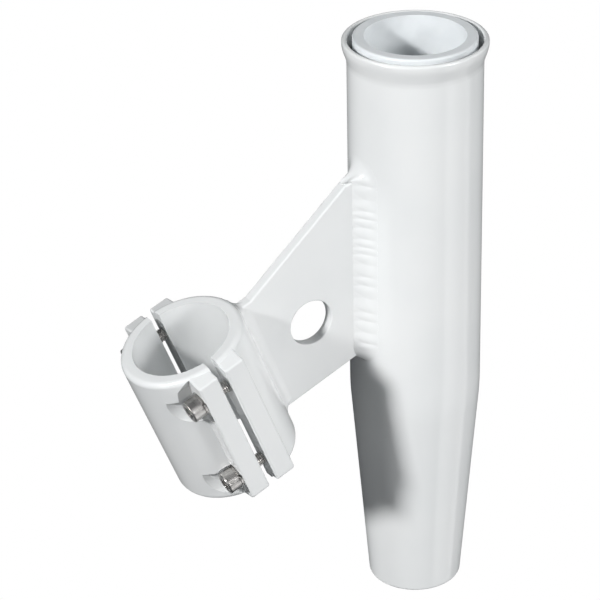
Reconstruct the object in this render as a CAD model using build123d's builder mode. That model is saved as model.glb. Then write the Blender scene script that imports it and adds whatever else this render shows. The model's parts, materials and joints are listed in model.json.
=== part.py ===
"""Clamp-on rod holder: an open rod tube on a web plate, held to a rail by a split clamp.

Frame, in millimetres: the origin is the centre of the rail bore. +Z runs up along the rod tube,
+X goes from the clamp towards the tube, and -Y is the front of the holder.
"""

import os
from math import copysign, cos, radians, sin, sqrt, tan

from build123d import *

os.makedirs("parts", exist_ok=True)

# Rod tube: 2 inch tube with a flared mouth and a swaged, tapered lower end
tube_x = 92.46
tube_radius = 25.4
tube_wall = 2.15
tube_bottom_z = -110.1
tube_height = 232.7
taper_height = 87.2
taper_blend_radius = 120.0
swaged_end_radius = 18.3
swaged_wall = 2.8
swaged_edge_rounding = 1.2
flare_height = 9.6
flare_bulge = 1.85
lip_radius = 1.05
lip_side_height = 0.2

# Liner: a plastic sleeve that stands a little proud of the flared mouth
liner_bore_radius = 19.05
liner_stand_out = 1.0
liner_length = 138.0
liner_bore_chamfer = 0.45
liner_edge_rounding = 0.9
liner_foot_chamfer = 1.2

# Gimbal pin across the tapered end, its ends under the outer skin of the tube
pin_radius = 3.175
pin_height = 16.0
pin_half_length = 18.6

# Rail clamp: a barrel split in two halves, tilted about the Y axis
clamp_tilt = 21.3
rail_radius = 19.05
barrel_radius = 24.05
barrel_half_length = 30.45
barrel_edge_rounding = 2.2
split_gap = 3.5

# Ears: a flat flange at each side of each half
ear_thickness = 8.3
ear_reach = 28.15
ear_shoulder = 19.2
ear_tip_half_length = 28.4
ear_rounding = 0.9

# Cap screws, M5 x 20, with a flat washer and a lock washer under each head
screw_reach = 23.3
screw_spacing = 37.7
screw_radius = 2.5
screw_length = 20.0
screw_tip_chamfer = 0.5
thread_clearance = 0.05
tap_run_out = 4.0
head_radius = 4.25
head_height = 5.0
head_edge_rounding = 0.45
hex_across_flats = 4.0
hex_depth = 2.5
clearance_hole_radius = 2.75
washer_seat = 8.5
washer_bore_radius = 2.65
flat_washer_radius = 4.5
flat_washer_thickness = 0.8
lock_washer_radius = 4.25
lock_washer_thickness = 1.5
lock_washer_slot = 0.7
lock_washer_slot_angle = 250.0

# Pockets in the cap round the screws, across and along the rail from each screw's centre
pocket_seat_radius = 5.2
pocket_radius = 8.5
pocket_draft = 5.0
pocket_height = 14.0
pocket_side_reach = 27.85
pocket_wall_foot = 18.1
pocket_wall_head = (12.3, 20.7)
pocket_upper_edge = 2.3
pocket_flank = ((1.9, 10.95), (4.65, 6.7), (5.35, 2.3))

# Web plate between clamp and tube
web_thickness = 4.76
web_edge_rounding = 0.8
web_top_angle = 40.45
web_top_corner = (29.8, 27.2)
web_foot = -24.75
web_hole_centre = (43.9, 19.1)
web_hole_radius = 9.05
web_hole_rounding = 0.5

# The welding melts the web's sharp top corner down to a gentle slope
melt_x = 59.6
melt_slope = 0.30

# Weld beads: legs measured from the corner that they fill
tube_weld_on_web = 4.5
tube_weld_on_tube = 7.2
tube_weld_top_leg = 6.7
tube_weld_foot_leg = 4.0
clamp_weld_on_web = 3.6
clamp_weld_on_barrel = 6.0
clamp_weld_end_leg = 1.4
weld_crown = 0.35

# Derived places
tube_top_z = tube_bottom_z + tube_height
taper_top_z = tube_bottom_z + taper_height
tube_bore_radius = tube_radius - tube_wall
liner_top_z = tube_top_z + liner_stand_out
liner_bottom_z = liner_top_z - liner_length
split_half_gap = split_gap / 2
head_seat = washer_seat + flat_washer_thickness + lock_washer_thickness
half_web = web_thickness / 2
tilt_cos = cos(radians(clamp_tilt))
tilt_sin = sin(radians(clamp_tilt))
rail_axis = Vector(-tilt_sin, 0, tilt_cos)
inward = Vector(tilt_cos, 0, tilt_sin)

# Planes along the rail, X pointing away from the split, and along the tube, X towards the clamp
fixed_plane = Plane(origin=(0, 0, 0), x_dir=inward, z_dir=rail_axis)
cap_plane = Plane(origin=(0, 0, 0), x_dir=-inward, z_dir=rail_axis)
tube_plane = Plane(origin=(tube_x, 0, 0), x_dir=(-1, 0, 0), z_dir=(0, 0, 1))
tube_section = Plane(origin=(tube_x, 0, 0), x_dir=(1, 0, 0), z_dir=(0, -1, 0))
tube_axis = Axis((tube_x, 0, 0), (0, 0, 1))


def facing(plane, distance):
    """The plane square to another plane's X, at a distance: X is the other's Y, Y is its Z."""
    return Plane(origin=plane.origin, x_dir=plane.y_dir, z_dir=plane.x_dir).offset(distance)


def from_clamp(along, up):
    """Frame X and Z of a point given along the inward direction and up the rail axis."""
    return (along * tilt_cos - up * tilt_sin, along * tilt_sin + up * tilt_cos)


# Where the web's edges meet the tube, on the web's own outline in frame X and Z
web_shoulder = from_clamp(*web_top_corner)
web_end_x = tube_x - sqrt(tube_radius**2 - half_web**2)
web_top_slope = tan(radians(web_top_angle))
web_foot_slope = tan(radians(clamp_tilt))


def web_top_at(x):
    """Height of the web's sloping top edge at a frame X."""
    return web_shoulder[1] + (x - web_shoulder[0]) * web_top_slope


def melted_top_at(x):
    """Height of the melted corner between the web's top edge and the tube at a frame X."""
    return web_top_at(melt_x) + (x - melt_x) * melt_slope


def web_foot_at(x):
    """Height of the web's lower edge at a frame X."""
    start = from_clamp(0, web_foot)
    return start[1] + (x - start[0]) * web_foot_slope


# Screw centres on the ears: name, across the clamp and up the rail, in the cap's facing plane
screw_places = {
    f"{level}_{side}": (across * screw_reach, up * screw_spacing / 2)
    for level, up in (("upper", 1), ("lower", -1))
    for side, across in (("front", 1), ("back", -1))
}


def clamp_half(plane):
    """Half of the barrel with an ear at each side, on the side that the plane's X points to."""
    with BuildPart() as ears:
        with BuildSketch(facing(plane, split_half_gap)):
            with BuildLine():
                Polyline(
                    (ear_reach, -ear_tip_half_length),
                    (ear_reach, ear_tip_half_length),
                    (ear_shoulder, barrel_half_length),
                    (-ear_shoulder, barrel_half_length),
                    (-ear_reach, ear_tip_half_length),
                    (-ear_reach, -ear_tip_half_length),
                    (-ear_shoulder, -barrel_half_length),
                    (ear_shoulder, -barrel_half_length),
                    close=True,
                )
            make_face()
        extrude(amount=ear_thickness)
        fillet(ears.edges(), ear_rounding)
    with BuildPart() as half:
        with BuildSketch(plane.offset(-barrel_half_length)):
            Circle(barrel_radius)
        extrude(amount=2 * barrel_half_length)
        fillet(half.edges().filter_by(GeomType.CIRCLE), barrel_edge_rounding)
        add(ears.part)
        with BuildSketch(plane.offset(-barrel_half_length)):
            Circle(rail_radius)
        extrude(amount=2 * barrel_half_length, mode=Mode.SUBTRACT)
        split(bisect_by=facing(plane, split_half_gap), keep=Keep.TOP)
    return half.part


def side_bead(plane, barrel, low, high, on_web, on_barrel):
    """A bead in the corner of the web's face and a barrel, from low to high along the plane's Z.

    The plane stands on the barrel's axis, with X towards the web and Y towards the web's face.
    """
    toe_on_web = Vector(sqrt(barrel**2 - half_web**2) + on_web, half_web)
    toe_on_barrel = Vector(sqrt(barrel**2 - on_barrel**2), on_barrel)
    outward = Vector(on_barrel - half_web, on_web).normalized()
    crown = (toe_on_web + toe_on_barrel) / 2 + outward * weld_crown
    with BuildPart() as bead:
        with BuildSketch(plane.offset(low)):
            with BuildLine():
                ThreePointArc(toe_on_web, crown, toe_on_barrel)
                Polyline(toe_on_barrel, (barrel / 2, on_barrel), (barrel / 2, half_web), toe_on_web)
            make_face()
            Circle(barrel, mode=Mode.SUBTRACT)
        extrude(amount=high - low)
    return bead.part


# ---------------------------------------------------------------- rod tube
flare_z = tube_top_z - flare_height
lip_z = tube_top_z - lip_radius
bulge_radius = tube_radius + flare_bulge
swaged_bore = swaged_end_radius - swaged_wall
with BuildPart() as rod_tube:
    with BuildSketch(tube_section) as tube_profile:
        with BuildLine():
            Polyline(
                (swaged_bore, tube_bottom_z),
                (swaged_end_radius, tube_bottom_z),
                (tube_radius, taper_top_z),
                (tube_radius, flare_z),
            )
            outer_flare = Spline(
                (tube_radius, flare_z),
                (bulge_radius, lip_z - lip_side_height),
                tangents=[(0, 1), (0, 1)],
            )
            Line(outer_flare @ 1, (bulge_radius, lip_z))
            lip = CenterArc((bulge_radius - lip_radius, lip_z), lip_radius, 0, 180)
            Spline(lip @ 1, (tube_bore_radius, flare_z), tangents=[(0, -1), (0, -1)])
            Polyline(
                (tube_bore_radius, flare_z),
                (tube_bore_radius, taper_top_z),
                (swaged_bore, tube_bottom_z),
            )
        make_face()
        bends = tube_profile.vertices().filter_by(lambda v: abs(v.Y - taper_top_z) < 0.01)
        fillet(bends, taper_blend_radius)
        outer_foot = tube_profile.vertices().group_by(Axis.Y)[0].sort_by(Axis.X)[-1]
        fillet(outer_foot, swaged_edge_rounding)
    revolve(axis=tube_axis)
    # Cross hole for the gimbal pin, stopping short of the outer skin
    with BuildSketch(Plane.YZ.offset(tube_x - pin_half_length)):
        with Locations((0, tube_bottom_z + pin_height)):
            Circle(pin_radius)
    extrude(amount=2 * pin_half_length, mode=Mode.SUBTRACT)
rod_tube.part.label = "rod_tube"
export_step(rod_tube.part, "parts/rod_tube.step")

# ---------------------------------------------------------------- liner
with BuildPart() as tube_liner:
    with BuildSketch(tube_section) as liner_profile:
        with BuildLine():
            Polyline(
                (liner_bore_radius, liner_bottom_z),
                (tube_bore_radius, liner_bottom_z),
                (tube_bore_radius, liner_top_z),
                (liner_bore_radius, liner_top_z),
                close=True,
            )
        make_face()
        liner_rim = liner_profile.vertices().group_by(Axis.Y)[-1].sort_by(Axis.X)
        liner_foot = liner_profile.vertices().group_by(Axis.Y)[0].sort_by(Axis.X)
        fillet(liner_rim[-1], liner_edge_rounding)
        chamfer(liner_rim[0], liner_bore_chamfer)
        chamfer(liner_foot[-1], liner_foot_chamfer)
    revolve(axis=tube_axis)
tube_liner.part.label = "tube_liner"
export_step(tube_liner.part, "parts/tube_liner.step")

# ---------------------------------------------------------------- gimbal pin
with BuildPart() as gimbal_pin:
    with BuildSketch(Plane.YZ.offset(tube_x - pin_half_length)):
        with Locations((0, tube_bottom_z + pin_height)):
            Circle(pin_radius)
    extrude(amount=2 * pin_half_length)
gimbal_pin.part.label = "gimbal_pin"
export_step(gimbal_pin.part, "parts/gimbal_pin.step")

# ---------------------------------------------------------------- web plate
with BuildPart() as web_plate:
    with BuildSketch(Plane.XZ):
        with BuildLine():
            Polyline(
                from_clamp(rail_radius, web_foot),
                (tube_x, web_foot_at(tube_x)),
                (tube_x, melted_top_at(tube_x)),
                (melt_x, web_top_at(melt_x)),
                web_shoulder,
                from_clamp(rail_radius, web_top_corner[1]),
                close=True,
            )
        make_face()
        with Locations(web_hole_centre):
            Circle(web_hole_radius, mode=Mode.SUBTRACT)
    extrude(amount=half_web, both=True)
    web_faces = web_plate.faces().filter_by(Axis.Y)
    fillet(web_faces.edges().filter_by(GeomType.LINE), web_edge_rounding)
    hole_rims = web_faces.edges().filter_by(GeomType.CIRCLE)
    fillet(hole_rims, web_hole_rounding)
    with BuildSketch(tube_plane.offset(tube_bottom_z)):
        Circle(tube_radius)
    extrude(amount=tube_height, mode=Mode.SUBTRACT)
    with BuildSketch(fixed_plane.offset(-barrel_half_length)):
        Circle(barrel_radius)
    extrude(amount=2 * barrel_half_length, mode=Mode.SUBTRACT)
web_plate.part.label = "web_plate"
export_step(web_plate.part, "parts/web_plate.step")

# ---------------------------------------------------------------- clamp halves
with BuildPart() as fixed_clamp_half:
    add(clamp_half(fixed_plane))
    with BuildSketch(facing(cap_plane, -split_half_gap)):
        with Locations(*screw_places.values()):
            Circle(screw_radius + thread_clearance)
    extrude(amount=-ear_thickness - tap_run_out, mode=Mode.SUBTRACT)
fixed_clamp_half.part.label = "fixed_clamp_half"
export_step(fixed_clamp_half.part, "parts/fixed_clamp_half.step")

# Each pocket is a round under the screw, opened wider below it and stopped by a sloping wall
# before the bore
with BuildPart() as pockets:
    with BuildSketch(facing(cap_plane, washer_seat)):
        with Locations(*screw_places.values()):
            Circle(pocket_radius)
    extrude(amount=pocket_height, taper=-pocket_draft)
    with BuildSketch(facing(cap_plane, washer_seat)):
        for across, up in screw_places.values():
            with Locations((across, up + pocket_upper_edge)):
                Rectangle(3 * pocket_radius, 2 * pocket_radius, align=(Align.CENTER, Align.MIN))
    extrude(amount=pocket_height, mode=Mode.SUBTRACT)
    with BuildSketch(facing(cap_plane, washer_seat)):
        with Locations(*screw_places.values()):
            Circle(pocket_seat_radius)
    extrude(amount=pocket_height)
    with BuildSketch(cap_plane.offset(-barrel_half_length)):
        for side in (1, -1):
            with BuildLine():
                Polyline(
                    (washer_seat, side * pocket_wall_foot),
                    (pocket_wall_head[1], side * pocket_wall_head[0]),
                    (pocket_wall_head[1], side * pocket_side_reach),
                    (washer_seat, side * pocket_side_reach),
                    close=True,
                )
            make_face()
    extrude(amount=2 * barrel_half_length, mode=Mode.INTERSECT)

with BuildPart() as clamp_cap:
    add(clamp_half(cap_plane))
    with BuildSketch(facing(cap_plane, split_half_gap)):
        with Locations(*screw_places.values()):
            Circle(clearance_hole_radius)
    extrude(amount=ear_thickness, mode=Mode.SUBTRACT)
    add(pockets.part, mode=Mode.SUBTRACT)
    # Beyond each screw the pocket runs out along the ear, to the barrel's end
    with BuildSketch(facing(cap_plane, split_half_gap + ear_thickness)):
        for across, up in screw_places.values():
            side, end = copysign(1, across), copysign(1, up)
            flank = [(across - side * off, up + end * out) for off, out in pocket_flank]
            with BuildLine():
                Polyline((across, up), (across, flank[0][1]), *flank, close=True)
            make_face()
    extrude(amount=pocket_height, mode=Mode.SUBTRACT)
clamp_cap.part.label = "clamp_cap"
export_step(clamp_cap.part, "parts/clamp_cap.step")

# ---------------------------------------------------------------- screws and their washers
for place_name, place in screw_places.items():
    with BuildPart() as flat_washer:
        with BuildSketch(facing(cap_plane, washer_seat)):
            with Locations(place):
                Circle(flat_washer_radius)
                Circle(washer_bore_radius, mode=Mode.SUBTRACT)
        extrude(amount=flat_washer_thickness)
    flat_washer.part.label = f"flat_washer_{place_name}"
    export_step(flat_washer.part, f"parts/flat_washer_{place_name}.step")

    with BuildPart() as lock_washer:
        with BuildSketch(facing(cap_plane, washer_seat + flat_washer_thickness)):
            with Locations(place):
                Circle(lock_washer_radius)
                Circle(washer_bore_radius, mode=Mode.SUBTRACT)
                Rectangle(
                    2 * lock_washer_radius,
                    lock_washer_slot,
                    rotation=lock_washer_slot_angle,
                    align=(Align.MIN, Align.CENTER),
                    mode=Mode.SUBTRACT,
                )
        extrude(amount=lock_washer_thickness)
    lock_washer.part.label = f"lock_washer_{place_name}"
    export_step(lock_washer.part, f"parts/lock_washer_{place_name}.step")

    with BuildPart() as screw:
        with BuildSketch(facing(cap_plane, head_seat - screw_length)):
            with Locations(place):
                Circle(screw_radius)
        extrude(amount=screw_length)
        shank_tip = screw.edges().sort_by(Axis((0, 0, 0), -inward))[0]
        chamfer(shank_tip, screw_tip_chamfer)
        with BuildSketch(facing(cap_plane, head_seat)):
            with Locations(place):
                Circle(head_radius)
        extrude(amount=head_height)
        head_rim = screw.edges().sort_by(Axis((0, 0, 0), -inward))[-1]
        fillet(head_rim, head_edge_rounding)
        with BuildSketch(facing(cap_plane, head_seat + head_height)):
            with Locations(place):
                RegularPolygon(hex_across_flats / 2, 6, major_radius=False)
        extrude(amount=-hex_depth, mode=Mode.SUBTRACT)
    screw.part.label = f"screw_{place_name}"
    export_step(screw.part, f"parts/screw_{place_name}.step")

# ---------------------------------------------------------------- welds
def weld_ring(plane, barrel, foot, top, on_web, on_barrel):
    """A bead all round the web's end: up both faces and across the foot and top edges.

    foot and top hold three frame X and Z points each: the corner between the web's edge and the
    barrel, the toe on the web's edge and the toe on the barrel. The side beads run between the
    toes on the barrel and slope to the toes on the web.
    """
    origin = Vector(plane.origin.X, plane.origin.Z)
    up = Vector(plane.z_dir.X, plane.z_dir.Z)
    low = (Vector(*foot[2]) - origin).dot(up)
    high = (Vector(*top[2]) - origin).dot(up)
    with BuildPart() as ring:
        add(side_bead(plane, barrel, low, high, on_web, on_barrel))
        for corner, toe_on_web, toe_on_barrel in (foot, top):
            slope = Vector(*toe_on_barrel) - Vector(*toe_on_web)
            beyond = Vector(*toe_on_web) - slope * 2
            past = Vector(*toe_on_barrel) + slope * 2
            away = (Vector(*toe_on_barrel) - Vector(*corner)).normalized() * barrel
            with BuildSketch(Plane.XZ):
                with BuildLine():
                    Polyline(beyond, past, past + away, beyond + away, close=True)
                make_face()
            extrude(amount=barrel, both=True, mode=Mode.SUBTRACT)
        mirror(about=Plane.XZ)
        for corner, toe_on_web, toe_on_barrel in (foot, top):
            with BuildSketch(Plane.XZ):
                with BuildLine():
                    Polyline(corner, toe_on_web, toe_on_barrel, close=True)
                make_face()
            extrude(amount=half_web, both=True)
        with BuildSketch(plane.offset(-tube_height)):
            Circle(barrel)
        extrude(amount=2 * tube_height, mode=Mode.SUBTRACT)
    return ring.part


tube_toe_x = web_end_x - tube_weld_on_web
with BuildPart() as tube_weld:
    add(
        weld_ring(
            tube_plane,
            tube_radius,
            (
                (web_end_x, web_foot_at(web_end_x)),
                (tube_toe_x, web_foot_at(tube_toe_x)),
                (web_end_x, web_foot_at(web_end_x) - tube_weld_foot_leg),
            ),
            (
                (web_end_x, melted_top_at(web_end_x)),
                (melt_x, web_top_at(melt_x)),
                (web_end_x, melted_top_at(web_end_x) + tube_weld_top_leg),
            ),
            tube_weld_on_web,
            tube_weld_on_tube,
        )
    )
tube_weld.part.label = "tube_weld"
export_step(tube_weld.part, "parts/tube_weld.step")

web_start = sqrt(barrel_radius**2 - half_web**2)
clamp_toe = web_start + clamp_weld_on_web
with BuildPart() as clamp_weld:
    add(
        weld_ring(
            fixed_plane,
            barrel_radius,
            (
                from_clamp(web_start, web_foot),
                from_clamp(clamp_toe, web_foot),
                from_clamp(web_start, web_foot - clamp_weld_end_leg),
            ),
            (
                from_clamp(web_start, web_top_corner[1]),
                from_clamp(clamp_toe, web_top_corner[1]),
                from_clamp(web_start, web_top_corner[1] + clamp_weld_end_leg),
            ),
            clamp_weld_on_web,
            clamp_weld_on_barrel,
        )
    )
clamp_weld.part.label = "clamp_weld"
export_step(clamp_weld.part, "parts/clamp_weld.step")
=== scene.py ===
"""Looks of a clamp-on rod holder: powder coat, liner, weld beads and fasteners on the CAD frame."""

import json
import logging
import math
from collections.abc import Iterable, Iterator
from dataclasses import dataclass
from enum import Enum

import bpy
import numpy as np
from mathutils import Matrix, Vector
from numpy.typing import ArrayLike


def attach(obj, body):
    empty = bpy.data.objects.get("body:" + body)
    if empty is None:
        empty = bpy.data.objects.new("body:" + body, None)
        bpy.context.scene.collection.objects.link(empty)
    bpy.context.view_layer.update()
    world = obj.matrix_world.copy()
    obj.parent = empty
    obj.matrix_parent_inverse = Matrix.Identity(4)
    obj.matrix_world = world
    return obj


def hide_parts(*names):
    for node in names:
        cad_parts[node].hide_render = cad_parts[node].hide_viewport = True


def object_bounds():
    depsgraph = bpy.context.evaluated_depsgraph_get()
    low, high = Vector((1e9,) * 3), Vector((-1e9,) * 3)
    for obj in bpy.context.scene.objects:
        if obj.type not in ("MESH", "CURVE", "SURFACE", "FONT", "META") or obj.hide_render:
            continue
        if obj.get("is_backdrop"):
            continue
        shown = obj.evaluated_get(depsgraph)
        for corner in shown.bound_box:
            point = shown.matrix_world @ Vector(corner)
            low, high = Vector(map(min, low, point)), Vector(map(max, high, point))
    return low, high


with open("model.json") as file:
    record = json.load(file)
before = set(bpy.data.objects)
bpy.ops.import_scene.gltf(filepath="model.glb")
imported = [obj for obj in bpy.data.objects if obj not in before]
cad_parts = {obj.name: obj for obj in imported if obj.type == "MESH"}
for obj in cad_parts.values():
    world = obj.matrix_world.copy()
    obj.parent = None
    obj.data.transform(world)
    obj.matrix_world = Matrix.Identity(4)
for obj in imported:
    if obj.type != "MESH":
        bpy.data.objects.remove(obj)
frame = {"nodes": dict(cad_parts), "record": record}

log = logging.getLogger("rod_holder")
MM = 0.001
TAU = 2.0 * math.pi

Pair = tuple[float, float]
Triple = tuple[float, float, float]
Colour = tuple[float, float, float, float]


# ------------------------------------------------------------------ shader maths
class Sock:
    """A shader socket that takes Python operators, each adding one Math node."""

    def __init__(self, graph: "Graph", socket: bpy.types.NodeSocket) -> None:
        """Keeps the socket and the graph that it belongs to."""
        self.graph = graph
        self.socket = socket

    def _math(self, operation: str, first: "Operand", second: "Operand") -> "Sock":
        """Adds a Math node for one operation."""
        return self.graph.node("ShaderNodeMath", {"operation": operation}, {0: first, 1: second})

    def __add__(self, other: "Operand") -> "Sock":
        """Sum."""
        return self._math("ADD", self, other)

    __radd__ = __add__

    def __mul__(self, other: "Operand") -> "Sock":
        """Product."""
        return self._math("MULTIPLY", self, other)

    __rmul__ = __mul__

    def __sub__(self, other: "Operand") -> "Sock":
        """Difference."""
        return self._math("SUBTRACT", self, other)

    def __rsub__(self, other: float) -> "Sock":
        """Difference from a number, as in 1 - mask."""
        return self._math("SUBTRACT", other, self)


Operand = Sock | float


class Coords(Enum):
    """What a pattern is laid out in: the frame's own axes, in metres, or the piece's UV map."""

    OBJECT = "Object"
    UV = "UV"


class Graph:
    """One material's node tree."""

    def __init__(self, name: str) -> None:
        """Makes the material with an empty node tree.

        Args:
            name: the material's name.
        """
        self.material = bpy.data.materials.new(name)
        self.material.use_nodes = True
        self.tree = self.material.node_tree
        self.tree.nodes.clear()

    def node(
        self, kind: str, settings: dict[str, str], values: dict[str | int, object],
        out: str | int = 0,
    ) -> Sock:
        """Adds any node.

        Args:
            kind: the node's type.
            settings: attributes of the node, set first.
            values: input sockets by name or index, each a number, a colour or a Sock.
            out: the output socket wanted, by name or index.

        Returns:
            The output as a Sock.
        """
        made = self.tree.nodes.new(kind)
        for key, value in settings.items():
            setattr(made, key, value)
        for key, value in values.items():
            if isinstance(value, Sock):
                self.tree.links.new(value.socket, made.inputs[key])
            else:
                made.inputs[key].default_value = value
        return Sock(self, made.outputs[out])

    def coords(self, kind: Coords) -> Sock:
        """The coordinates of each point."""
        return self.node("ShaderNodeTexCoord", {}, {}, kind.value)

    def stretched(self, where: Sock, factors: Triple) -> Sock:
        """Coordinates times three factors: a small one draws a pattern out along that axis."""
        return self.node("ShaderNodeVectorMath", {"operation": "MULTIPLY"}, {0: where, 1: factors})

    def noise(self, where: Sock, scale: float, detail: float, roughness: float = 0.5) -> Sock:
        """A noise value about 0.5.

        Args:
            where: the coordinates.
            scale: cycles per unit of the coordinates.
            detail: octaves.
            roughness: how strong the finer octaves are.

        Returns:
            The noise's factor.
        """
        values = {"Vector": where, "Scale": scale, "Detail": detail, "Roughness": roughness}
        return self.node("ShaderNodeTexNoise", {}, values)

    def blend(self, value: Sock, span: Pair, first: Colour, second: Colour) -> Sock:
        """Goes from one colour to another by a smooth step.

        Args:
            value: what drives the step.
            span: the value where the step starts and the value where it ends.
            first: the colour below the step.
            second: the colour above it.

        Returns:
            The colour.
        """
        smooth = {"interpolation_type": "SMOOTHSTEP"}
        share = self.node("ShaderNodeMapRange", smooth, {0: value, 1: span[0], 2: span[1]})
        return self.node("ShaderNodeMix", {"data_type": "RGBA"}, {0: share, 6: first, 7: second}, 2)

    def bump(self, height: Sock, distance: float, under: Sock | None = None) -> Sock:
        """Adds a bump.

        Args:
            height: the height, from 0 to 1.
            distance: what a height of 1 stands for, in metres.
            under: a bump that this one lies on.

        Returns:
            The bumped normal.
        """
        values = {"Height": height, "Distance": distance}
        if under is not None:
            values["Normal"] = under
        return self.node("ShaderNodeBump", {}, values)

    def finish(self, kind: str, values: dict[str | int, object]) -> bpy.types.Material:
        """Adds the shader and joins it to the output.

        Args:
            kind: the shader node's type.
            values: the shader's sockets.

        Returns:
            The material.
        """
        shader = self.node(kind, {}, values)
        output = self.tree.nodes.new("ShaderNodeOutputMaterial")
        self.tree.links.new(shader.socket, output.inputs["Surface"])
        return self.material


# ------------------------------------------------------------------ surfaces
SHARP_EDGE = math.radians(35)


@dataclass(frozen=True)
class AxisFrame:
    """A centre, an axis and two directions square to it, as numpy vectors."""

    centre: np.ndarray
    along: np.ndarray
    first: np.ndarray
    second: np.ndarray

    @classmethod
    def about(cls, centre: ArrayLike, along: ArrayLike, first: ArrayLike) -> "AxisFrame":
        """The right-handed frame of a centre, an axis and the first direction square to it."""
        axis, side = np.array(along, float), np.array(first, float)
        return cls(np.array(centre, float), axis, side, np.cross(axis, side))

    def turned(self, profile: np.ndarray, angle: np.ndarray) -> np.ndarray:
        """Carries each profile point round the axis, as a surface of revolution.

        A point is the centre, plus the radius times the direction at its angle, plus the height
        times the axis. That direction is cos(angle) times the first and sin(angle) the second.

        Args:
            profile: (points, 2) of radius and height along the axis, or (points, places, 2) where
                the radius changes round the axis.
            angle: the angle of each place.

        Returns:
            Points shaped (points, places, 3).
        """
        if profile.ndim == 2:
            profile = profile[:, None, :]
        turn = angle[None, :, None]
        across = np.cos(turn) * self.first + np.sin(turn) * self.second
        return self.centre + profile[..., :1] * across + profile[..., 1:] * self.along


def round_angles(places: int) -> np.ndarray:
    """Even angles of a full turn, without the last one that repeats the first."""
    return np.linspace(0.0, TAU, places, endpoint=False)


def grid_mesh(name: str, rings: np.ndarray, looped: bool = False) -> bpy.types.Object:
    """Makes a mesh from rings of points, closed round each ring and at its ends.

    The surface is a function of two parameters: the ring's number and the place round the ring.
    Where it isn't looped, each end is closed by a fan to the ring's middle. Faces are turned
    outwards by the sign of the volume, which is the sum of each triangle's p0 . (p1 x p2) / 6.

    Args:
        name: the piece's name.
        rings: points, shaped (rings, places, 3), in metres.
        looped: True joins the last ring to the first, as on a closed path.

    Returns:
        The linked object, smooth shaded but for its sharp edges.
    """
    count, places = rings.shape[:2]
    ring = np.arange(count if looped else count - 1)[:, None]
    place = np.arange(places)[None, :]
    after_ring, after_place = (ring + 1) % count, (place + 1) % places
    corners = (
        ring * places + place,
        ring * places + after_place,
        after_ring * places + after_place,
        after_ring * places + place,
    )
    quads = np.stack(corners, axis=-1).reshape(-1, 4)
    points = rings.reshape(-1, 3)
    fans = np.zeros((0, 3), dtype=int)
    if not looped:
        points = np.concatenate([points, rings[[0, -1]].mean(axis=1)])
        start_middle = np.full(places, count * places)
        first, following = place[0], after_place[0]
        last = (count - 1) * places
        start_fan = np.stack([following, first, start_middle], axis=-1)
        end_fan = np.stack([last + first, last + following, start_middle + 1], axis=-1)
        fans = np.concatenate([start_fan, end_fan])
    closed = np.concatenate([quads[:, [0, 1, 2]], quads[:, [0, 2, 3]], fans])
    a, b, c = (points[closed[:, corner]] for corner in range(3))
    if np.einsum("ij,ij->", a, np.cross(b, c)) < 0:
        quads, fans = quads[:, ::-1], fans[:, ::-1]
    mesh = bpy.data.meshes.new(name)
    mesh.from_pydata(points.tolist(), [], quads.tolist() + fans.tolist())
    mesh.shade_smooth()
    mesh.set_sharp_from_angle(angle=SHARP_EDGE)
    return linked(name, mesh)


def linked(name: str, data: bpy.types.ID) -> bpy.types.Object:
    """Puts a mesh, lamp or camera into the scene.

    Args:
        name: the object's name.
        data: what the object shows.

    Returns:
        The object, at the origin.
    """
    made = bpy.data.objects.new(name, data)
    bpy.context.scene.collection.objects.link(made)
    return made


def dress(piece: bpy.types.Object, material: bpy.types.Material) -> None:
    """Gives a piece one material in place of any that it has."""
    piece.data.materials.clear()
    piece.data.materials.append(material)


def unwrap_round(piece: bpy.types.Object, axis: AxisFrame) -> None:
    """Gives a turned piece a UV map: u is the angle in turns, v the distance run over the profile.

    v is the radius plus the height along the axis, in centimetres, so it grows along both flat
    faces and walls.

    Args:
        piece: the turned piece.
        axis: the axis that it is turned about.
    """
    mesh = piece.data
    points = np.empty(len(mesh.vertices) * 3)
    mesh.vertices.foreach_get("co", points)
    away = points.reshape(-1, 3) - axis.centre
    across, side, up = away @ axis.first, away @ axis.second, away @ axis.along
    turn = np.arctan2(side, across) / TAU
    run = (np.hypot(across, side) + up) / (10 * MM)
    corner_vertex = np.empty(len(mesh.loops), dtype=int)
    mesh.loops.foreach_get("vertex_index", corner_vertex)
    layer = mesh.uv_layers.new(name="UVMap")
    pairs = np.stack([turn[corner_vertex], run[corner_vertex]], axis=-1)
    layer.data.foreach_set("uv", pairs.ravel())


# ------------------------------------------------------------------ finishes
PRINCIPLED = "ShaderNodeBsdfPrincipled"


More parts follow.
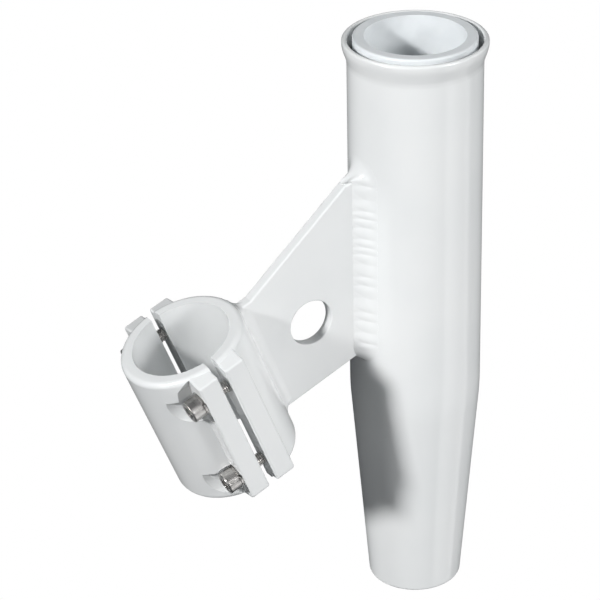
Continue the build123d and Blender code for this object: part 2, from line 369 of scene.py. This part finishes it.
@dataclass(frozen=True)
class PowderCoat:
    """Glossy powder coat: nearly even white, with a fine orange peel and slow waves."""

    light: Colour = (0.85, 0.862, 0.862, 1.0)
    shade: Colour = (0.82, 0.836, 0.838, 1.0)
    cloud_scale: float = 22.0
    cloud_span: Pair = (0.35, 0.65)
    roughness: float = 0.24
    peel_roughness: float = 0.06
    cloud_roughness: float = 0.08
    peel_pitch: float = 1.4 * MM
    peel_height: float = 0.006 * MM
    wave_pitch: float = 11.0 * MM
    wave_height: float = 0.012 * MM
    ior: float = 1.5
    coat: float = 0.35
    coat_roughness: float = 0.08

    def material(self) -> bpy.types.Material:
        """Builds the material.

        Returns:
            The material: clouds tint it, clouds and peel change its gloss, peel lies on waves.
        """
        graph = Graph("powder_coat")
        where = graph.coords(Coords.OBJECT)
        peel = graph.noise(where, 1.0 / self.peel_pitch, detail=2.0)
        wave = graph.noise(where, 1.0 / self.wave_pitch, detail=1.0)
        cloud = graph.noise(where, self.cloud_scale, detail=3.0)
        uneven = (peel - 0.5) * self.peel_roughness
        patchy = (cloud - 0.5) * self.cloud_roughness
        waves = graph.bump(wave, self.wave_height)
        values = {
            "Base Color": graph.blend(cloud, self.cloud_span, self.shade, self.light),
            "Roughness": self.roughness + uneven + patchy,
            "Normal": graph.bump(peel, self.peel_height, waves),
            "IOR": self.ior,
            "Coat Weight": self.coat,
            "Coat Roughness": self.coat_roughness,
        }
        return graph.finish(PRINCIPLED, values)


@dataclass(frozen=True)
class LinerPlastic:
    """Satin white extruded plastic: faint lines along its length and a soft mottle."""

    light: Colour = (0.82, 0.85, 0.865, 1.0)
    shade: Colour = (0.78, 0.812, 0.83, 1.0)
    mottle_scale: float = 160.0
    mottle_span: Pair = (0.3, 0.7)
    roughness: float = 0.38
    mottle_roughness: float = 0.16
    line_pitch: float = 0.5 * MM
    line_height: float = 0.006 * MM
    draw_out: Triple = (1.0, 1.0, 0.02)
    ior: float = 1.49

    def material(self) -> bpy.types.Material:
        """Builds the material.

        Returns:
            The material: a mottle tints it and changes its gloss, lines run up the tube's axis.
        """
        graph = Graph("liner_plastic")
        where = graph.coords(Coords.OBJECT)
        drawn_out = graph.stretched(where, self.draw_out)
        lines = graph.noise(drawn_out, 1.0 / self.line_pitch, detail=2.0)
        mottle = graph.noise(where, self.mottle_scale, detail=4.0)
        values = {
            "Base Color": graph.blend(mottle, self.mottle_span, self.shade, self.light),
            "Roughness": self.roughness + (mottle - 0.5) * self.mottle_roughness,
            "Normal": graph.bump(lines, self.line_height),
            "IOR": self.ior,
        }
        return graph.finish(PRINCIPLED, values)


@dataclass(frozen=True)
class Stainless:
    """Bright stainless steel with fine tool marks drawn out round the turned piece."""

    light: Colour = (0.70, 0.685, 0.665, 1.0)
    shade: Colour = (0.50, 0.485, 0.47, 1.0)
    tint_span: Pair = (0.35, 0.65)
    mark_share: float = 0.6
    smear_share: float = 0.4
    draw_out: Triple = (0.02, 1.0, 1.0)
    mark_scale: float = 90.0
    mark_fineness: float = 0.6
    mark_height: float = 0.01 * MM
    smear_scale: float = 420.0
    roughness: float = 0.2
    mark_roughness: float = 0.14
    smear_roughness: float = 0.1

    def material(self) -> bpy.types.Material:
        """Builds the material.

        Returns:
            The material: marks on the UV map and smears over them tint it and change its gloss.
        """
        graph = Graph("stainless")
        drawn_out = graph.stretched(graph.coords(Coords.UV), self.draw_out)
        marks = graph.noise(drawn_out, self.mark_scale, detail=3.0, roughness=self.mark_fineness)
        smear = graph.noise(graph.coords(Coords.OBJECT), self.smear_scale, detail=3.0)
        tint = marks * self.mark_share + smear * self.smear_share
        uneven = marks * self.mark_roughness
        values = {
            "Base Color": graph.blend(tint, self.tint_span, self.shade, self.light),
            "Metallic": 1.0,
            "Roughness": self.roughness + uneven + smear * self.smear_roughness,
            "Normal": graph.bump(marks, self.mark_height),
        }
        return graph.finish(PRINCIPLED, values)


# ------------------------------------------------------------------ places in the CAD frame
def joint_named(name: str) -> dict:
    """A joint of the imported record."""
    return next(joint for joint in frame["record"]["behaviour"]["joints"] if joint["name"] == name)


def mount_named(name: str) -> dict:
    """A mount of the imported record."""
    return next(mount for mount in frame["record"]["mounts"] if mount["name"] == name)


RAIL = np.array(mount_named("rail_clamp")["axis"], float)
OUTWARD = np.array(joint_named("cap_slide")["axis"], float)
BACK = np.array([0.0, 1.0, 0.0])
UP = np.array([0.0, 0.0, 1.0])
TOWARDS_CLAMP = np.array([-1.0, 0.0, 0.0])
TUBE_X = float(mount_named("rod_socket")["pos_m"][0])


class ScrewPlace(Enum):
    """Where a cap screw stands, as its CAD nodes and its joint name it."""

    UPPER_FRONT = "upper_front"
    UPPER_BACK = "upper_back"
    LOWER_FRONT = "lower_front"
    LOWER_BACK = "lower_back"

    def axis(self) -> AxisFrame:
        """The screw's axis, from the clamp's split outwards through its head."""
        return AxisFrame.about(joint_named(f"screw_turn_{self.value}")["pos_m"], OUTWARD, BACK)


# ------------------------------------------------------------------ coated metal and liner
@dataclass
class HolderBody:
    """The pieces that keep their CAD shape: the coated metal and the plastic liner."""

    coated: tuple[str, ...] = (
        "rod_tube", "web_plate", "fixed_clamp_half", "clamp_cap", "gimbal_pin",
    )
    liner: str = "tube_liner"

    def build(
        self, powder: bpy.types.Material, plastic: bpy.types.Material
    ) -> Iterator[bpy.types.Object]:
        """Dresses the CAD nodes.

        Args:
            powder: the coat of the metal.
            plastic: the liner's material.

        Returns:
            The dressed pieces, one by one.
        """
        for node in self.coated:
            dress(frame["nodes"][node], powder)
            yield frame["nodes"][node]
        dress(frame["nodes"][self.liner], plastic)
        yield frame["nodes"][self.liner]


# ------------------------------------------------------------------ fasteners
@dataclass
class CapScrew:
    """One M5 socket-head cap screw: a turned surface with a threaded shank and a hexagon socket.

    Heights are measured from the frame's origin plane along the cap's outward axis.
    """

    place: ScrewPlace
    under_head: float = 10.8 * MM
    length: float = 20.0 * MM
    shank_radius: float = 2.5 * MM
    pitch: float = 0.8 * MM
    thread_depth: float = 0.42 * MM
    flank_gain: float = 1.3
    crest_width: float = 0.15
    plain_turns: float = 0.6
    tip_chamfer: float = 0.5 * MM
    head_radius: float = 4.25 * MM
    head_height: float = 5.0 * MM
    head_rounding: float = 0.45 * MM
    head_bevel: float = 0.25 * MM
    head_edge: float = 0.1 * MM
    knurl_count: int = 48
    knurl_depth: float = 0.05 * MM
    socket_half_flats: float = 2.0 * MM
    socket_depth: float = 2.5 * MM
    socket_lead: float = 0.22 * MM
    socket_mouth_gap: float = 0.12 * MM
    socket_neck_gap: float = 0.02 * MM
    socket_foot: float = 0.1 * MM
    floor_shares: Triple = (0.97, 0.6, 0.05)
    floor_depths: Triple = (0.0, 0.35 * MM, 0.8 * MM)
    columns: int = 192
    rings_per_turn: int = 7
    side_rings: int = 12
    rounding_rings: int = 7

    def thread(self, angle: np.ndarray) -> np.ndarray:
        """Works out the shank, from the tip to under the head.

        The radius falls from the crest by the thread's depth times a rounded triangle wave of
        height / pitch - angle / turn, and the tip is cut back by a 45 degree chamfer.

        Args:
            angle: the angle of each place round the axis.

        Returns:
            Radius and height, shaped (rings, places, 2).
        """
        tip = self.under_head - self.length
        rings = int(self.length / self.pitch * self.rings_per_turn)
        height = np.linspace(tip, self.under_head, rings)[:, None]
        phase = height / self.pitch - angle[None, :] / TAU
        wave = 2.0 * np.abs(phase - np.floor(phase) - 0.5)
        groove = np.clip(self.flank_gain * wave - self.crest_width, 0.0, 1.0)
        run_out = np.clip((self.under_head - height) / self.pitch - self.plain_turns, 0.0, 1.0)
        radius = self.shank_radius - self.thread_depth * groove * run_out
        chamfer = self.shank_radius - self.tip_chamfer + (height - tip)
        radius = np.minimum(radius, chamfer)
        return np.stack([radius, np.broadcast_to(height, radius.shape)], axis=-1)

    def head(self, angle: np.ndarray) -> np.ndarray:
        """Works out the head's underside, its knurled side and its rounded top edge.

        The knurl cuts the side by its depth times half of 1 + cos(knurl count times angle), and
        the top edge is a quarter circle.

        Args:
            angle: the angle of each place round the axis.

        Returns:
            Radius and height, shaped (rings, places, 2).
        """
        bevel_top = self.under_head + self.head_bevel
        rounding_foot = self.under_head + self.head_height - self.head_rounding
        low, high = bevel_top + self.head_edge, rounding_foot - self.head_edge
        quarter = np.linspace(0.0, math.pi / 2, self.rounding_rings)
        under = [self.shank_radius + self.head_edge, self.head_radius - self.head_bevel]
        radius = np.concatenate([
            under,
            np.full(1 + self.side_rings, self.head_radius),
            self.head_radius - self.head_rounding * (1.0 - np.cos(quarter)),
        ])
        height = np.concatenate([
            [self.under_head, self.under_head, bevel_top],
            np.linspace(low, high, self.side_rings),
            rounding_foot + self.head_rounding * np.sin(quarter),
        ])
        knurled = ((height > low + self.head_edge) & (height < high - self.head_edge))[:, None]
        teeth = 0.5 + 0.5 * np.cos(self.knurl_count * angle)
        radii = radius[:, None] - self.knurl_depth * knurled * teeth
        return np.stack([radii, np.broadcast_to(height[:, None], radii.shape)], axis=-1)

    def socket(self, angle: np.ndarray) -> np.ndarray:
        """Works out the hexagon socket: its round mouth, its wall and its coned floor.

        The wall's radius is half the flats divided by the cosine of the angle from the middle of
        a flat. The floor's rings are shares of that radius at growing depths.

        Args:
            angle: the angle of each place round the axis.

        Returns:
            Radius and height, shaped (rings, places, 2).
        """
        sixth = TAU / 6
        wall = self.socket_half_flats / np.cos(np.mod(angle, sixth) - sixth / 2)
        corner = self.socket_half_flats / math.cos(sixth / 2)
        mouth = np.full(angle.size, corner + self.socket_mouth_gap)
        neck = np.minimum(wall + self.socket_neck_gap, mouth)
        radii = np.concatenate([[mouth, neck, wall], np.outer(self.floor_shares, wall)])
        top = self.under_head + self.head_height
        floor = top - self.socket_depth
        height = np.concatenate([
            [top, top - self.socket_lead, floor + self.socket_foot],
            floor - np.array(self.floor_depths),
        ])
        return np.stack([radii, np.broadcast_to(height[:, None], radii.shape)], axis=-1)

    def build(self, steel: bpy.types.Material) -> bpy.types.Object:
        """Makes the screw where its CAD node stands.

        Args:
            steel: the screw's material.

        Returns:
            The screw.
        """
        node = f"screw_{self.place.value}"
        axis = self.place.axis()
        angle = round_angles(self.columns)
        profile = np.concatenate([self.thread(angle), self.head(angle), self.socket(angle)])
        piece = grid_mesh(f"{node}_steel", axis.turned(profile, angle))
        unwrap_round(piece, axis)
        dress(piece, steel)
        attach(piece, node)
        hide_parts(node)
        return piece


@dataclass
class Washers:
    """The flat washer and the split lock washer under one screw head."""

    place: ScrewPlace
    seat: float = 8.5 * MM
    bore: float = 2.65 * MM
    flat_radius: float = 4.5 * MM
    flat_thickness: float = 0.8 * MM
    lock_radius: float = 4.25 * MM
    lock_thickness: float = 1.5 * MM
    slot_turns: float = 0.035
    slot_start: float = 0.61
    edge: float = 0.12 * MM
    stations: int = 96

    def build(self, steel: bpy.types.Material) -> Iterator[bpy.types.Object]:
        """Makes both washers where their CAD nodes stand.

        Args:
            steel: the washers' material.

        Returns:
            The flat washer and then the lock washer.
        """
        middle = self.seat + self.flat_thickness
        flat = self.section(self.seat, middle, self.flat_radius)
        lock = self.section(middle, middle + self.lock_thickness, self.lock_radius)
        cut_end = self.slot_start + 1.0 - self.slot_turns
        whole = round_angles(self.stations)
        cut = np.linspace(self.slot_start, cut_end, self.stations) * TAU
        yield self.ring("flat_washer", flat, whole, True, steel)
        yield self.ring("lock_washer", lock, cut, False, steel)

    def section(self, low: float, high: float, radius: float) -> np.ndarray:
        """Works out a rectangle with cut corners between the bore and a radius.

        Args:
            low: the height of its lower face.
            high: the height of its upper face.
            radius: the washer's outer radius.

        Returns:
            Radius and height of its eight corners.
        """
        edge, bore = self.edge, self.bore
        outside = [(radius - edge, low), (radius, low + edge), (radius, high - edge)]
        top = [(radius - edge, high), (bore + edge, high)]
        inside = [(bore, high - edge), (bore, low + edge)]
        return np.array([(bore + edge, low), *outside, *top, *inside])

    def ring(
        self, kind: str, section: np.ndarray, angle: np.ndarray, looped: bool,
        steel: bpy.types.Material,
    ) -> bpy.types.Object:
        """Carries a section round the screw's axis.

        Args:
            kind: the start of the CAD node's name.
            section: radius and height of the section's corners.
            angle: where round the axis each copy of the section stands.
            looped: True joins the last section to the first.
            steel: the washer's material.

        Returns:
            The washer.
        """
        node = f"{kind}_{self.place.value}"
        axis = self.place.axis()
        rings = axis.turned(section, angle).swapaxes(0, 1)
        piece = grid_mesh(f"{node}_steel", rings, looped=looped)
        unwrap_round(piece, axis)
        dress(piece, steel)
        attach(piece, "cap")
        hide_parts(node)
        return piece


# ------------------------------------------------------------------ weld beads
@dataclass(frozen=True)
class AroundWeb:
    """A size of a bead at the web's sides, over its top edge and under its foot."""

    side: float
    top: float
    foot: float

    def at(self, top: np.ndarray, foot: np.ndarray) -> np.ndarray:
        """The size where the bead is turned to the top and to the foot by these shares."""
        return self.side + (self.top - self.side) * top + (self.foot - self.side) * foot


@dataclass(frozen=True)
class Drift:
    """A sine that the ripples wander by: its size in ripples, waves round the loop and start."""

    size: float
    waves: int
    start: float

    def at(self, part: np.ndarray) -> np.ndarray:
        """The wander at parts of the loop from 0 to 1."""
        return self.size * np.sin(TAU * self.waves * part + self.start)


@dataclass
class WeldBead:
    """A fillet bead laid all round the end of the web, where it meets a barrel.

    The bead is worked out in the barrel's own directions: u from the barrel towards the web, v
    across the web and w along the barrel's axis. Its corner line is a stadium of half the web's
    thickness round the web's end, and its legs change smoothly between sides, top and foot. The
    crown is how far the bead's middle stands out, and a hollow bead has a negative one.
    """

    node: str
    barrel: AxisFrame
    barrel_radius: float
    low: float
    high: float
    leg_on_web: AroundWeb
    leg_on_barrel: AroundWeb
    slope: AroundWeb
    crown: AroundWeb
    ripple: float
    pitch: float
    scallop: float
    lean: float
    bow: float = 0.35
    ripple_power: float = 0.7
    ripple_middle: float = 0.55
    lobe_middle: float = 0.6
    turn_power: float = 1.5
    drifts: tuple[Drift, Drift] = (Drift(0.35, 3, 0.6), Drift(0.16, 11, 0.0))
    sink: float = 1.1 * MM
    half_web: float = 2.38 * MM
    rings: int = 620
    across: int = 26

    def build(self, powder: bpy.types.Material) -> bpy.types.Object:
        """Makes the bead where its CAD node stands.

        Args:
            powder: the coat over the bead.

        Returns:
            The bead.
        """
        run = np.linspace(0.0, self.length(), self.rings, endpoint=False)
        directions = (self.barrel.first, self.barrel.second, self.barrel.along)
        points = self.barrel.centre + sum(
            part[..., None] * way for part, way in zip(self.surface(run), directions)
        )
        piece = grid_mesh(f"{self.node}_bead", points, looped=True)
        dress(piece, powder)
        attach(piece, "bracket")
        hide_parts(self.node)
        return piece

    def straight(self) -> float:
        """Length of each straight of the corner line."""
        return self.high - self.low - 2 * self.half_web

    def length(self) -> float:
        """Length of the corner line: two straights and two half circles."""
        return 2 * self.straight() + TAU * self.half_web

    def corner_line(self, run: np.ndarray) -> tuple[np.ndarray, np.ndarray, np.ndarray]:
        """Follows the stadium up one side of the web, over its top, down and under its foot.

        Args:
            run: distances along the corner line.

        Returns:
            The height of the stadium's nearest middle, and v and w of the way out of the web.
        """
        straight, turn = self.straight(), math.pi * self.half_web
        knots = np.cumsum([0.0, straight, turn, straight, turn])
        start, end = self.low + self.half_web, self.high - self.half_web
        middle = np.interp(run, knots, [start, end, end, start, start])
        angle = np.interp(run, knots, [0.0, 0.0, math.pi, math.pi, TAU])
        return middle, -np.cos(angle), np.sin(angle)

    def surface(self, run: np.ndarray) -> np.ndarray:
        """Works out the bead's skin over rings and places.

        A point is (1 - s) times the toe on the web plus s times the toe on the barrel, plus the
        crown 4 s (1 - s) h and the ripples along the bead's outward direction. A toe on the barrel
        has u = sqrt(R^2 - v^2). Three buried points close each ring inside the metal.

        Args:
            run: distances along the corner line.

        Returns:
            The coordinates u, v and w, each shaped (rings, places).
        """
        middle, out_v, out_w = self.corner_line(run)
        top = np.maximum(out_w, 0.0) ** self.turn_power
        foot = np.maximum(-out_w, 0.0) ** self.turn_power
        phase = self.phase(run)
        scallop = self.scallop * (np.abs(np.sin(math.pi * phase)) - self.lobe_middle)
        on_web = self.leg_on_web.at(top, foot) + scallop
        on_barrel = self.leg_on_barrel.at(top, foot) + scallop

        corner_v, corner_w = self.half_web * out_v, middle + self.half_web * out_w
        corner_u = np.sqrt(self.barrel_radius**2 - corner_v**2)
        corner = np.stack([corner_u, corner_v, corner_w])
        slope = self.slope.at(top, foot)
        web = np.stack([corner_u + on_web, corner_v, corner_w + slope * on_web])
        toe_v = corner_v + out_v * on_barrel
        toe_u = np.sqrt(self.barrel_radius**2 - toe_v**2)
        toe = np.stack([toe_u, toe_v, corner_w + out_w * on_barrel])
        outward = (web - corner) / on_web + (toe - corner) / on_barrel
        outward = outward / np.linalg.norm(outward, axis=0)

        share = np.linspace(0.0, 1.0, self.across)[None, None, :]
        rise = self.rise(share, phase, self.crown.at(top, foot))
        skin = (1.0 - share) * web[..., None] + share * toe[..., None] + rise * outward[..., None]

        inward = np.stack([np.zeros_like(out_v), -out_v, -out_w])
        into_barrel = np.array([-self.sink, 0.0, 0.0])[:, None]
        under_toe = toe + into_barrel
        under_corner = corner + self.sink * inward + into_barrel
        under_web = web + self.sink * inward
        buried = np.stack([under_toe, under_corner, under_web], axis=-1)
        return np.concatenate([skin, buried], axis=-1)

    def rise(self, share: np.ndarray, phase: np.ndarray, crown: np.ndarray) -> np.ndarray:
        """Works out how far the skin stands out from the straight line between its toes.

        The crown is an arch 4 s (1 - s). The ripples are a power of |sin(pi times the phase)|,
        where the phase leans over the bead and bows back towards both toes.

        Args:
            share: the place over the bead, from 0 at the web to 1 at the barrel.
            phase: ripples passed so far.
            crown: the arch's height along the bead.

        Returns:
            The rise, shaped (1, rings, places).
        """
        arch = 4.0 * share * (1.0 - share)
        bowed = self.lean * (share - 0.5) - self.bow * (2.0 * share - 1.0) ** 2
        wave = np.abs(np.sin(math.pi * (phase[None, :, None] + bowed)))
        ripples = wave**self.ripple_power - self.ripple_middle
        return arch * crown[None, :, None] + self.ripple * np.sqrt(arch) * ripples

    def phase(self, run: np.ndarray) -> np.ndarray:
        """Counts the ripples passed so far: even along the bead, but for a drift of the hand.

        The count is a whole number round the loop, so the last ripple meets the first.

        Args:
            run: distances along the corner line.

        Returns:
            The count at each distance.
        """
        whole = round(self.length() / self.pitch)
        part = run / self.length()
        slow, quick = self.drifts
        return whole * part + (slow.at(part) + quick.at(part))


@dataclass
class Welds:
    """The bead on the tube, lightly rippled, and the smooth one on the clamp."""

    tube_radius: float = 25.4 * MM
    clamp_radius: float = 24.05 * MM

    def build(self, powder: bpy.types.Material) -> Iterator[bpy.types.Object]:
        """Makes both beads.

        Args:
            powder: the coat over the beads.

        Returns:
            The tube's bead and then the clamp's.
        """
        yield self.on_tube().build(powder)
        yield self.on_clamp().build(powder)

    def on_tube(self) -> WeldBead:
        """Gives the sizes of the bead between the web and the rod tube.

        Returns:
            The bead.
        """
        return WeldBead(
            node="tube_weld",
            barrel=AxisFrame(np.array([TUBE_X, 0.0, 0.0]), UP, TOWARDS_CLAMP, BACK),
            barrel_radius=self.tube_radius,
            low=-0.4 * MM,
            high=75.0 * MM,
            leg_on_web=AroundWeb(side=4.6 * MM, top=7.6 * MM, foot=4.6 * MM),
            leg_on_barrel=AroundWeb(side=7.2 * MM, top=6.0 * MM, foot=4.2 * MM),
            slope=AroundWeb(side=0.0, top=-0.42, foot=-0.40),
            crown=AroundWeb(side=-0.9 * MM, top=-2.2 * MM, foot=-0.4 * MM),
            ripple=0.13 * MM,
            pitch=4.4 * MM,
            scallop=0.25 * MM,
            lean=0.5,
        )

    def on_clamp(self) -> WeldBead:
        """Gives the sizes of the bead between the web and the clamp's fixed half.

        Returns:
            The bead.
        """
        return WeldBead(
            node="clamp_weld",
            barrel=AxisFrame(np.zeros(3), RAIL, -OUTWARD, BACK),
            barrel_radius=self.clamp_radius,
            low=-24.75 * MM,
            high=27.2 * MM,
            leg_on_web=AroundWeb(side=4.4 * MM, top=4.2 * MM, foot=3.6 * MM),
            leg_on_barrel=AroundWeb(side=6.4 * MM, top=1.7 * MM, foot=2.4 * MM),
            slope=AroundWeb(side=0.0, top=0.0, foot=0.0),
            crown=AroundWeb(side=-1.7 * MM, top=-0.6 * MM, foot=-0.6 * MM),
            ripple=0.0,
            pitch=4.0 * MM,
            scallop=0.0,
            lean=0.4,
        )


# ------------------------------------------------------------------ studio
@dataclass(frozen=True)
class SoftBox:
    """A square area light at a distance from the object, aimed at it."""

    name: str
    towards: Triple
    size: float
    power: float
    away: float = 3.0

    def build(self, target: Vector) -> None:
        """Hangs the light.

        Args:
            target: the point that it is aimed at.
        """
        data = bpy.data.lights.new(self.name, "AREA")
        data.shape = "SQUARE"
        data.size = self.size
        data.energy = self.power
        light = linked(self.name, data)
        direction = Vector(self.towards).normalized()
        light.location = target + direction * self.away
        light.rotation_euler = direction.to_track_quat("Z", "Y").to_euler()


@dataclass
class Studio:
    """Camera, soft lights and a plain pale floor inside a pale dome."""

    target: Triple = (40.48 * MM, 0.0, 28.87 * MM)
    distance: float = 993.2 * MM
    azimuth: float = -31.378
    elevation: float = 28.481
    roll: float = -1.270
    lens: float = 159.21
    sensor_width: float = 36.0
    clip: Pair = (0.01, 200.0)
    floor_drop: float = 0.45
    dome_radius: float = 40.0
    dome_foot: float = -0.3
    dome_crown: float = math.pi / 2 - 0.02
    dome_rings: int = 24
    dome_places: int = 64
    pale: Colour = (1.0, 1.0, 1.0, 1.0)
    pale_strength: float = 1.0
    sky: Colour = (0.9, 0.95, 1.0, 1.0)
    sky_strength: float = 0.09
    lights: tuple[SoftBox, ...] = (
        SoftBox("left_light", towards=(-0.867, -0.165, 0.469), size=0.28, power=80.0),
        SoftBox("front_light", towards=(0.37, -0.83, 0.415), size=0.7, power=45.0),
        SoftBox("right_light", towards=(0.90, -0.15, 0.40), size=1.2, power=12.0),
        SoftBox("low_light", towards=(0.6, -0.6, -0.4), size=2.5, power=26.0),
        SoftBox("soft_light", towards=(-0.457, -0.751, 0.477), size=2.5, power=4.0),
        SoftBox("side_light", towards=(-0.95, -0.2, -0.1), size=1.0, power=7.0),
    )

    def build(self) -> None:
        """Makes everything that isn't part of the object."""
        self.camera()
        self.world()
        self.surroundings()
        bpy.context.scene.view_settings.view_transform = "Standard"
        for light in self.lights:
            light.build(Vector(self.target))

    def camera(self) -> None:
        """Sets up a long lens turned to the viewing direction, with its small roll."""
        azimuth, elevation = math.radians(self.azimuth), math.radians(self.elevation)
        flat = math.cos(elevation)
        back = Vector((math.sin(azimuth) * flat, -math.cos(azimuth) * flat, math.sin(elevation)))
        right = Vector((math.cos(azimuth), math.sin(azimuth), 0.0))
        up = back.cross(right)
        turn = math.radians(self.roll)
        across = right * math.cos(turn) + up * math.sin(turn)
        upward = up * math.cos(turn) - right * math.sin(turn)
        data = bpy.data.cameras.new("camera")
        data.lens = self.lens
        data.sensor_width = self.sensor_width
        data.clip_start, data.clip_end = self.clip
        camera = linked("camera", data)
        axes = Matrix((across, upward, back)).transposed().to_4x4()
        camera.matrix_world = Matrix.Translation(Vector(self.target) + back * self.distance) @ axes
        bpy.context.scene.camera = camera

    def world(self) -> None:
        """Sets up the dim, slightly cool light from all round."""
        world = bpy.data.worlds.new("studio")
        world.use_nodes = True
        background = world.node_tree.nodes["Background"]
        background.inputs["Color"].default_value = self.sky
        background.inputs["Strength"].default_value = self.sky_strength
        bpy.context.scene.world = world

    def surroundings(self) -> None:
        """Makes a pale floor well under the object and a pale dome over it.

        The floor is one flat disc. The dome is a sphere's part between two elevations: the radius
        times the elevation's cosine from the axis, and times its sine up.
        """
        graph = Graph("pale_studio")
        glow = {"Color": self.pale, "Strength": self.pale_strength}
        pale = graph.finish("ShaderNodeEmission", glow)
        middle = AxisFrame.about((0.0, 0.0, 0.0), UP, -TOWARDS_CLAMP)
        angle = round_angles(self.dome_places)
        floor_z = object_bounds()[0].z - self.floor_drop
        rim = middle.turned(np.array([[self.dome_radius, floor_z]]), angle)[0]
        mesh = bpy.data.meshes.new("floor")
        mesh.from_pydata(rim.tolist(), [], [list(range(self.dome_places))])
        rise = np.linspace(self.dome_foot, self.dome_crown, self.dome_rings)
        arc = self.dome_radius * np.stack([np.cos(rise), np.sin(rise)], axis=-1)
        for stage in (linked("floor", mesh), grid_mesh("dome", middle.turned(arc, angle))):
            dress(stage, pale)
            stage.visible_diffuse = False
            stage.visible_glossy = False
            stage.visible_shadow = False
            stage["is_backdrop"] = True


# ------------------------------------------------------------------ the whole object
def report(pieces: Iterable[bpy.types.Object]) -> None:
    """Logs the name, finish and number of faces of each piece, as it is made.

    Args:
        pieces: the finished pieces.
    """
    for piece in pieces:
        finish = piece.data.materials[0].name
        log.info("%s: %s, %d faces", piece.name, finish, len(piece.data.polygons))


def write_sizes(cad_box: tuple[Vector, Vector]) -> None:
    """Works out the CAD box and the visual model's box as plain lists, which are not written
    anywhere.

    Args:
        cad_box: the low and high corners taken before anything was made.
    """
    boxes = {"cad": cad_box, "visual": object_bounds()}
    plain = {name: [list(corner) for corner in box] for name, box in boxes.items()}


def main() -> None:
    """Builds every piece in order and reports it."""
    logging.basicConfig(level=logging.INFO, format="%(name)s: %(message)s")
    cad_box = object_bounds()
    Studio().build()
    powder = PowderCoat().material()
    plastic = LinerPlastic().material()
    steel = Stainless().material()
    report(HolderBody().build(powder, plastic))
    report(Welds().build(powder))
    for place in ScrewPlace:
        report([CapScrew(place).build(steel)])
        report(Washers(place).build(steel))
    write_sizes(cad_box)


if __name__ == "__main__":
    main()
